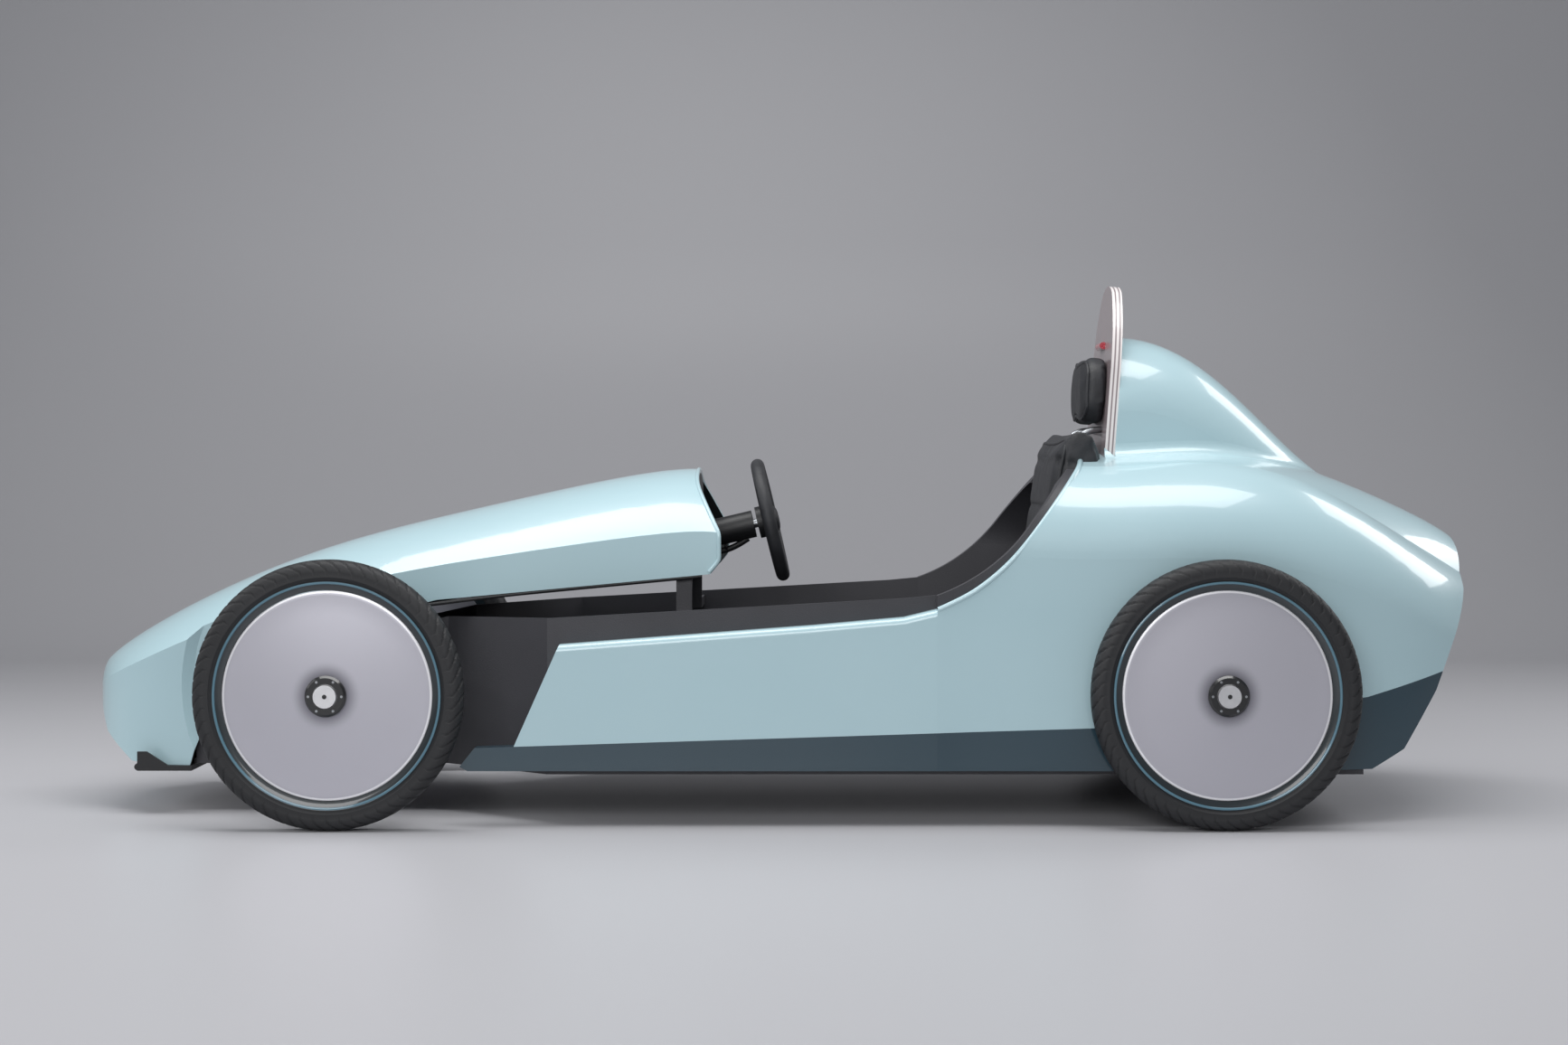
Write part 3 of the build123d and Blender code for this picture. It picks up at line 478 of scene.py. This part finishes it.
plug_turns = 32
screw_count, screw_reach, screw_out = 6, 0.0305, 0.0322
for place, body, side in wheel_rows:
    centre = wheel_centre(place)
    tyre = lathe(f"tyre_{place}_treaded", tyre_section, centre, side, tyre_turns)
    for vertex in tyre.vertices:
        spot = vertex.co - centre
        radius = spot.xz.length
        lean = math.atan2(abs(spot.y) / crown_half, (radius - crown_core) / crown_rise) / (math.pi / 2)
        if groove_start < lean < groove_end:
            turn = math.atan2(spot.x, spot.z) / (2 * math.pi) * groove_count
            turn += groove_sweep * lean ** groove_bend
            if turn % 1.0 < groove_share * (groove_taper - lean):
                core = Vector((spot.x / radius, 0.0, spot.z / radius)) * crown_core
                vertex.co += (core - spot).normalized() * groove_depth
    fit_piece(tyre, tyre_rubber, body, stands_for=f"tyre_{place}")

    rim = lathe(f"rim_{place}", rim_front + rim_back, centre, side, ring_turns)
    fit_piece(rim, rim_gloss, body, stands_for=f"wheel_disc_{place}")
    rim_line = lathe(f"rim_line_{place}", line_section, centre, side, ring_turns)
    fit_piece(rim_line, line_gloss, body)
    disc = lathe(f"disc_{place}_spun", disc_face + disc_back, centre, side, ring_turns)
    fit_piece(disc, disc_satin, body)

    dress(f"hub_ring_{place}", hub_gloss)
    dress(f"axle_cap_{place}", cap_alloy)
    cap_low, cap_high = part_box(f"axle_cap_{place}")
    cap_out = max(abs(cap_low[1]), abs(cap_high[1])) - abs(centre.y)
    plug_section = [(0.0003, cap_out + 0.0006), (0.003, cap_out + 0.0006), (0.0042, cap_out + 0.0002),
                    (0.0042, cap_out - 0.001)]
    plug = lathe(f"cap_plug_{place}", plug_section, centre, side, plug_turns, closed=False)
    fit_piece(plug, black_abs, body)

    screws = bmesh.new()
    for turn in range(screw_count):
        angle = 2 * math.pi * (turn + 0.5) / screw_count
        spot = Vector((screw_reach * math.sin(angle), side * screw_out, screw_reach * math.cos(angle)))
        stand = Matrix.Translation(centre + spot) @ Matrix.Rotation(math.pi / 2, 4, "X")
        bmesh.ops.create_cone(screws, cap_ends=True, segments=6, radius1=0.0026, radius2=0.0022,
                              depth=0.0022, matrix=stand)
    fit_piece(mesh_from(screws, f"hub_screws_{place}"), zinc_steel, body)


# Seat: black leathercloth sewn over moulded foam. The cushions swell between
# their seams, so each starts from its solid and is blown up as cloth.
def sewn_cloth(name, colour):
    """Leathercloth: embossed grain, creases of 36 mm and worn highlights.

    The grain is drawn at 2 mm, coarser than the real one, so that it shows.
    """
    material = new_material(name)
    place = metres_map(material)
    grain = add_node(material, "ShaderNodeTexVoronoi", Vector=place, Scale=480.0)
    crease = add_node(material, "ShaderNodeTexNoise", Vector=place, Scale=28.0, Detail=6.0)
    tone = add_node(material, "ShaderNodeMix", {"data_type": "RGBA"}, Factor=crease.outputs["Fac"],
                    i6=linear(colour), i7=linear("#33353a"))
    rough = add_node(material, "ShaderNodeMapRange", Value=crease.outputs["Fac"], To_Min=0.42, To_Max=0.66)
    emboss = add_node(material, "ShaderNodeBump", Height=grain.outputs["Distance"], Strength=0.35,
                      Distance=0.0008)
    fold = add_node(material, "ShaderNodeBump", Height=crease.outputs["Fac"], Normal=emboss.outputs["Normal"],
                    Strength=0.3, Distance=0.004)
    return close_material(material, Base_Color=tone.outputs[2], Roughness=rough.outputs[0],
                          Normal=fold.outputs["Normal"])


leathercloth = sewn_cloth("black_leathercloth", "#17181a")
swell_share = 0.55
foam_pressure, foam_frames = 4.0, 20
seam_half = 0.007


def settled_mesh(piece):
    """Mesh of a piece with its modifiers worked in."""
    graph = bpy.context.evaluated_depsgraph_get()
    return bpy.data.meshes.new_from_object(piece.evaluated_get(graph))


def foam_pad(node_name, name, voxel, reach, channels):
    """Cushion blown up from its CAD solid, with sewn channels across its face.

    channels holds (axis, pitch, depth, facing): the direction along which the
    channels repeat, their spacing and depth in metres, and the face they are on.
    """
    low, high = (Vector(corner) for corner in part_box(node_name))
    middle = (low + high) / 2
    mesh = nodes[node_name].data.copy()
    shrink = Vector(1 - 2 * reach * swell_share / size for size in high - low)
    mesh.transform(Matrix.Translation(middle) @ Matrix.Diagonal(shrink.to_4d()) @ Matrix.Translation(-middle))
    pad = bpy.data.objects.new(name, mesh)
    bpy.context.scene.collection.objects.link(pad)
    remesh = pad.modifiers.new("even_skin", "REMESH")
    remesh.mode = "VOXEL"
    remesh.voxel_size = voxel
    pad.data = settled_mesh(pad)
    pad.modifiers.clear()
    rest = [vertex.co.copy() for vertex in pad.data.vertices]
    cloth = pad.modifiers.new("foam_pressure", "CLOTH")
    cloth.settings.use_pressure = True
    cloth.settings.uniform_pressure_force = foam_pressure
    cloth.settings.effector_weights.gravity = 0.0
    for step in range(1, foam_frames + 1):
        bpy.context.scene.frame_set(step)
    swollen = settled_mesh(pad)
    pad.modifiers.clear()
    pad.data = swollen
    bpy.context.scene.frame_set(1)
    axis, pitch, depth, facing = channels
    for vertex, start in zip(pad.data.vertices, rest):
        moved = vertex.co - start
        if moved.length > reach:
            vertex.co = start + moved.normalized() * reach
        if vertex.normal.dot(facing) > 0.5:
            along = (vertex.co - low).dot(axis) / pitch
            gap = abs(along - round(along)) * pitch
            vertex.co -= vertex.normal * depth * math.exp(-((gap / seam_half) ** 2))
        vertex.co = Vector(min(max(c, a), b) for c, a, b in zip(vertex.co, low, high))
    smooth = pad.modifiers.new("soft_skin", "SUBSURF")
    smooth.levels = 1
    smooth.render_levels = 1
    pad.data.shade_smooth()
    pad.data.materials.clear()
    pad.data.materials.append(leathercloth)
    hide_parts(node_name)
    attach(pad, "chassis")


forward, upward = Vector((1, 0, 0)), Vector((0, 0, 1))
up_the_back = Vector((-0.16, 0.0, 0.987))
foam_pad("seat_base", "seat_base_cushion", 0.008, 0.012, (forward, 0.086, 0.006, upward))
foam_pad("seat_back", "seat_back_cushion", 0.008, 0.012, (up_the_back, 0.094, 0.006, forward))
foam_pad("headrest_pad", "headrest_cushion", 0.005, 0.008, (upward, 0.5, 0.0, forward))


# Piping: a cord in a strip of the same leathercloth, sewn into the seams round the
# front of the seat back and of the headrest pad.
welt_radius = 0.0032


def seam_point(piece, axis, value, lean):
    """Vertex furthest along lean among those of a thin slice of a cushion."""
    slice_half = 0.008
    spots = [piece.matrix_world @ vertex.co for vertex in piece.data.vertices]
    near = [spot for spot in spots if abs(spot[axis] - value) < slice_half]
    best = max(near, key=lambda spot: spot.dot(Vector(lean)))
    best[axis] = value
    return best


def welt(cushion_name, name, foot, inset, steps, closed):
    """Piping up one side of a cushion's front edge, over the top and down the other."""
    piece = bpy.data.objects[cushion_name]
    low = Vector(min(corner[i] for corner in piece.bound_box) for i in range(3))
    high = Vector(max(corner[i] for corner in piece.bound_box) for i in range(3))
    line = []
    for step in range(steps + 1):
        z = low.z + foot + (high.z - inset - low.z - foot) * step / steps
        line.append(seam_point(piece, 2, z, (1.0, 1.0, 0.0)))
    for step in range(steps // 2 + 1):
        y = (high.y - inset) * (1 - 2 * step / (steps // 2))
        line.append(seam_point(piece, 1, y, (1.0, 0.0, 1.0)))
    line += [Vector((spot.x, -spot.y, spot.z)) for spot in reversed(line[:steps + 1])]
    if closed:
        for step in range(steps // 2 + 1):
            y = (inset - high.y) * (1 - 2 * step / (steps // 2))
            line.append(seam_point(piece, 1, y, (1.0, 0.0, -1.0)))
    tube(name, line, welt_radius, leathercloth, "chassis", cyclic=closed)


welt("seat_back_cushion", "seat_back_welt", 0.1, 0.03, 10, False)
welt("headrest_cushion", "headrest_welt", 0.03, 0.03, 8, True)


# Headrest board: two white laminate skins on a pink-grey core, cut to an arch
# and screwed to the front of the fairing. Its edge shows the three layers.
board_laminate = new_material("white_board_laminate")
board_place = metres_map(board_laminate)
board_lean = add_node(board_laminate, "ShaderNodeVectorMath", {"operation": "DOT_PRODUCT"}, i0=board_place,
                      i1=(0.997, 0.0, 0.0773))
board_layer = add_node(board_laminate, "ShaderNodeMath", {"operation": "PINGPONG"},
                       i0=board_lean.outputs["Value"], i1=0.004)
board_edge = add_node(board_laminate, "ShaderNodeMapRange", Value=board_layer.outputs[0], From_Min=0.0012,
                      From_Max=0.0018)
board_tone = add_node(board_laminate, "ShaderNodeMix", {"data_type": "RGBA"}, Factor=board_edge.outputs[0],
                      i6=linear("#8d8184"), i7=linear("#e6e0df"))
board_speck = add_node(board_laminate, "ShaderNodeTexNoise", Vector=board_place, Scale=160.0, Detail=3.0)
board_bump = add_node(board_laminate, "ShaderNodeBump", Height=board_speck.outputs["Fac"], Strength=0.06,
                      Distance=0.0004)
close_material(board_laminate, Base_Color=board_tone.outputs[2], Roughness=0.32,
               Normal=board_bump.outputs["Normal"], Coat_Weight=0.4, Coat_Roughness=0.1)
dress("headrest_board", board_laminate)

# Reflector: a moulded red acrylic bar above the pad, glossy over 4 mm prisms that
# break up the light. It is glued to the board.
red_lens = new_material("red_acrylic_lens")
lens_place = metres_map(red_lens)
lens_prism = add_node(red_lens, "ShaderNodeTexVoronoi", Vector=lens_place, Scale=260.0)
lens_bump = add_node(red_lens, "ShaderNodeBump", Height=lens_prism.outputs["Distance"], Strength=0.4,
                     Distance=0.001)
close_material(red_lens, Base_Color=linear("#b01f33"), Roughness=0.15, Normal=lens_bump.outputs["Normal"],
               Coat_Weight=0.6)
pad_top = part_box("headrest_pad")[1][2]
board_low, board_high = (Vector(corner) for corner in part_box("headrest_board"))
board_foot, board_top = (-0.658, 0.66), (-0.687, 1.034)
board_lean_rate = (board_foot[0] - board_top[0]) / (board_top[1] - board_foot[1])


def board_front(z):
    """X of the board's front face at height z."""
    return board_high.x - board_lean_rate * (z - board_low.z)


lens_z = pad_top + 0.018
lens_row = [(board_front(lens_z) + 0.004, y, lens_z) for y in (-0.034, -0.012, 0.012, 0.034)]
tube("headrest_lens", lens_row, 0.0075, red_lens, "chassis")


# Seat stays: two bent steel rods, zinc plated, that tie the top of the seat back to
# the headrest board, so that the back can't rock.
for hand, side in (("left", 1), ("right", -1)):
    stay = [(-0.606, side * 0.085, 0.735), (-0.618, side * 0.085, 0.742),
            (-0.632, side * 0.08, 0.744), (board_front(0.745) + 0.001, side * 0.075, 0.745)]
    tube(f"seat_stay_{hand}", stay, 0.007, zinc_steel, "chassis")


# Steering wheel: a steel ring wrapped in black leather, on a flat black spider with
# a leather-faced boss in its middle. A zig-zag of wire thread closes the wrap.
wrap_leather = sewn_cloth("wheel_wrap_leather", "#141416")
dress("steering_rim", wrap_leather)
dress("steering_hub", black_abs)
steer_joint = next(joint for joint in frame["joints"] if joint["name"] == "steering_turn")
steer_centre = Vector(steer_joint["pos_m"])
steer_axis = Vector(steer_joint["axis"]).normalized()
steer_side = Vector((0.0, 1.0, 0.0))
steer_up = steer_axis.cross(steer_side)


def on_wheel(radius, angle, out):
    """Point of the wheel at a radius, an angle from its top and a lift to the driver."""
    across = steer_side * math.sin(angle) - steer_up * math.cos(angle)
    return steer_centre + steer_axis * out + radius * across


boss_mesh = bpy.data.meshes.new("steering_boss")
boss_section = [(0.0, 0.0185), (0.012, 0.018), (0.02, 0.0165), (0.0245, 0.0135), (0.026, 0.0105),
                (0.026, 0.0095)]
boss_turns = 40
boss_points = []
boss_faces = []
for turn in range(boss_turns):
    angle = 2 * math.pi * turn / boss_turns
    boss_points += [on_wheel(radius, angle, out) for radius, out in boss_section]
    here, after = turn * len(boss_section), (turn + 1) % boss_turns * len(boss_section)
    boss_faces += [(here + i, here + i + 1, after + i + 1, after + i) for i in range(len(boss_section) - 1)]
boss_mesh.from_pydata(boss_points, [], boss_faces)
boss_weld = bmesh.new()
boss_weld.from_mesh(boss_mesh)
bmesh.ops.remove_doubles(boss_weld, verts=boss_weld.verts, dist=1e-5)
boss_weld.to_mesh(boss_mesh)
boss_weld.free()
boss_mesh.shade_smooth()
fit_piece(boss_mesh, wrap_leather, "steering")

wire_thread = turned_metal("grey_wrap_thread", "#7d8084", 0.6)
stitch_count, stitch_reach, stitch_half = 120, 0.0997, 0.0015
stitch_points = [on_wheel(stitch_reach, 2 * math.pi * stitch / stitch_count, stitch_half * (-1) ** stitch)
                 for stitch in range(stitch_count)]
tube("steering_stitches", stitch_points, 0.0009, wire_thread, "steering", cyclic=True)


# Column clips: two moulded hoops snapped on under the steering column, to carry
# the cable sleeve.
clip_half, clip_drop = 0.018, 0.03
clip_place = steer_centre - steer_axis * 0.1
for reach in (0.0, 0.028):
    spot = clip_place - steer_axis * reach + steer_up * clip_drop
    hoop = [spot + steer_side * clip_half, spot + steer_up * 0.01,
            spot - steer_side * clip_half, spot - steer_up * 0.006]
    tube(f"column_clip_{int(reach * 1000)}", hoop, 0.003, black_abs, "chassis", cyclic=True)


# Pedals: flat black mouldings on the ends of the crank's pins, with rubber treads
# screwed to both faces, four bars to a face.
def bars(name, rows, bevel, material, body):
    """Bevelled bars between low and high corners, joined into one piece."""
    stock = bmesh.new()
    for low, high in rows:
        low, high = Vector(low), Vector(high)
        bmesh.ops.create_cube(stock, size=1.0, matrix=Matrix.LocRotScale((low + high) / 2, None, high - low))
    bmesh.ops.bevel(stock, geom=stock.edges[:], offset=bevel, segments=2, affect="EDGES")
    fit_piece(mesh_from(stock, name), material, body)


tread_rubber = moulded_grain("ribbed_black_rubber", "#202124", 1.2, 0.7)
tread_bars, tread_share, tread_inset = 4, 0.6, 0.006
tread_rise, tread_sink = 0.003, 0.001
for hand in ("left", "right"):
    low, high = (Vector(corner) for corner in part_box(f"pedal_{hand}"))
    pitch = (high.x - low.x) / tread_bars
    faces = ((high.z - tread_sink, high.z + tread_rise), (low.z - tread_rise, low.z + tread_sink))
    rows = []
    for bar in range(tread_bars):
        start = low.x + pitch * (bar + (1 - tread_share) / 2)
        for bottom, top in faces:
            rows.append(((start, low.y + tread_inset, bottom),
                         (start + tread_share * pitch, high.y - tread_inset, top)))
    bars(f"pedal_treads_{hand}", rows, 0.001, tread_rubber, "crank")


# Floor mat: a ribbed rubber sheet, cut to the foot well between the seat and the
# pedal unit and glued to the floor pan.
mat_low, mat_high = Vector((-0.16, -0.25, 0.1035)), Vector((0.4, 0.25, 0.1065))
mat_ribs, mat_rib_share, mat_rib_inset = 16, 0.4, 0.012
rib_pitch = (mat_high.y - mat_low.y) / mat_ribs
mat_rows = [(mat_low, mat_high)]
for rib in range(mat_ribs):
    start = mat_low.y + rib_pitch * (rib + (1 - mat_rib_share) / 2)
    mat_rows.append(((mat_low.x + mat_rib_inset, start, mat_high.z - 0.001),
                     (mat_high.x - mat_rib_inset, start + mat_rib_share * rib_pitch, mat_high.z + 0.002)))
bars("floor_mat", mat_rows, 0.0008, tread_rubber, "chassis")


# Battery pack and motor: a moulded case with stiffening ribs and a carrying
# handle, and a motor with pressed steel fins, both bolted to the floor pan.
low, high = (Vector(corner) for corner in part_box("battery_pack"))
case_ribs, rib_wide, rib_rise, rib_sink = 7, 0.008, 0.004, 0.002
rib_margin, rib_end = 0.03, 0.015
rib_step = (high.y - low.y - 2 * rib_margin) / (case_ribs - 1)
case_rows = []
for rib in range(case_ribs):
    start = low.y + rib_margin + rib * rib_step - rib_wide / 2
    for back, front in ((low.x - rib_rise, low.x + rib_sink), (high.x - rib_sink, high.x + rib_rise)):
        case_rows.append(((back, start, low.z + rib_end), (front, start + rib_wide, high.z - rib_end)))
bars("battery_ribs", case_rows, 0.0015, black_abs, "chassis")
handle_x = (low.x + high.x) / 2
handle_bends = [(-0.07, -0.002), (-0.066, 0.022), (-0.03, 0.026),
                (0.03, 0.026), (0.066, 0.022), (0.07, -0.002)]
handle = [(handle_x, y, high.z + rise) for y, rise in handle_bends]
tube("battery_handle", handle, 0.006, black_abs, "chassis")

low, high = (Vector(corner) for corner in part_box("drive_motor"))
motor_radius, fin_root = 0.052, 0.0515
motor_centre = Vector(((low.x + high.x) / 2, 0.0, high.z - motor_radius))
fin_count, fin_pitch, fin_thick, fin_rise = 9, 0.016, 0.004, 0.007
fin_turns = 72
for fin in range(fin_count):
    out = (fin - (fin_count - 1) / 2) * fin_pitch
    fin_top = motor_radius + fin_rise
    fin_section = [(fin_root, out + fin_thick / 2), (fin_top, out + fin_thick / 3),
                   (fin_top, out - fin_thick / 3), (fin_root, out - fin_thick / 2)]
    motor_fin = lathe(f"motor_fin_{fin + 1}", fin_section, motor_centre, 1, fin_turns)
    fit_piece(motor_fin, zinc_steel, "chassis")


# Dash: a speed dial in a bezel to the driver's left of the column and a pair of
# rocker switches to the right, all let into the panel.
dash_low, dash_high = (Vector(corner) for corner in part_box("dash_panel"))
dash_face = dash_low.x
dial_spot = Vector((dash_face, 0.1, dash_high.z - 0.085))

# The dial is a cream card under clear glass, which smears faintly at 1 mm.
dial_glass = new_material("dial_face")
dial_smear = add_node(dial_glass, "ShaderNodeTexNoise", Vector=metres_map(dial_glass), Scale=900.0)
dial_rough = add_node(dial_glass, "ShaderNodeMapRange", Value=dial_smear.outputs["Fac"], To_Min=0.08,
                      To_Max=0.16)
close_material(dial_glass, Base_Color=linear("#e6e4dc"), Roughness=dial_rough.outputs[0], Coat_Weight=1.0)
bezel_turns, bezel_reach, bezel_proud = 24, 0.032, 0.004
bezel = []
for turn in range(bezel_turns):
    angle = 2 * math.pi * turn / bezel_turns
    ring = Vector((-bezel_proud, bezel_reach * math.sin(angle), bezel_reach * math.cos(angle)))
    bezel.append(dial_spot + ring)
tube("dial_bezel", bezel, 0.0035, cap_alloy, "chassis", cyclic=True)
card = bmesh.new()
card_stand = Matrix.Translation(dial_spot - Vector((0.002, 0.0, 0.0))) @ Matrix.Rotation(-math.pi / 2, 4, "Y")
bmesh.ops.create_cone(card, cap_ends=True, segments=48, radius1=0.031, radius2=0.029, depth=0.006,
                      matrix=card_stand)
fit_piece(mesh_from(card, "dial_card"), dial_glass, "chassis")
needle = [dial_spot + Vector((-0.0062, 0.004, -0.003)), dial_spot + Vector((-0.0062, -0.018, 0.014))]
tube("dial_needle", needle, 0.0011, red_lens, "chassis")
switch_half = 0.009
switch_rows = []
for y in (-0.085, -0.115):
    switch_rows.append(((dash_face - 0.008, y - switch_half, dash_high.z - 0.1),
                        (dash_face + 0.002, y + switch_half, dash_high.z - 0.066)))
bars("dash_switches", switch_rows, 0.002, black_abs, "chassis")


# Column loom: the switch and motor cables run under the column in one sleeve,
# held by the two clips.
loom_top = steer_centre - steer_axis * 0.052 + steer_up * 0.026
loom_run = [(0.0, 0.0), (0.03, 0.012), (0.07, 0.013), (0.11, 0.01), (0.15, 0.004)]
loom = [loom_top - steer_axis * along + steer_up * drop for along, drop in loom_run]
tube("column_loom", loom, 0.0065, black_abs, "chassis")
